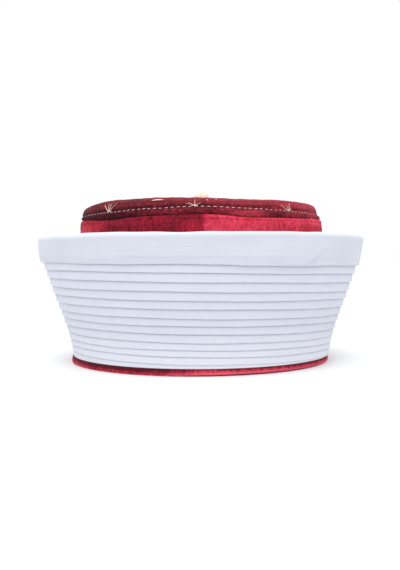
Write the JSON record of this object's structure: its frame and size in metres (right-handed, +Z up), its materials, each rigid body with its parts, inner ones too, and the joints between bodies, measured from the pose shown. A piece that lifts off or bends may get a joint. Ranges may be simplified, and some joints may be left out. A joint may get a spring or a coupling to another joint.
{
  "type": "imam turban",
  "caption": "Stiff velvet fez with a padded top, wound with a white pleated cloth that flares upward.",
  "frame": {"origin": "centre of the rim's underside, on which the hat rests", "axes": "+Z up through the crown's button, -Y towards the front, +X to the right in a front view"},
  "size_m": [0.2386, 0.2386, 0.124],
  "materials": {
    "red_velvet": "short-pile red velvet",
    "wine_velvet": "short-pile dark red velvet",
    "white_cotton": "fine plain-woven white cotton",
    "gold_thread": "pale gold silk thread with a sheen"
  },
  "bodies": {
    "root": {"fez_wall": "red_velvet", "rim_binding": "red_velvet", "crown_top": "wine_velvet", "crown_button": "gold_thread", "sarik_winding": "white_cotton", "top_band": "white_cotton"}
  },
  "joints": []
}
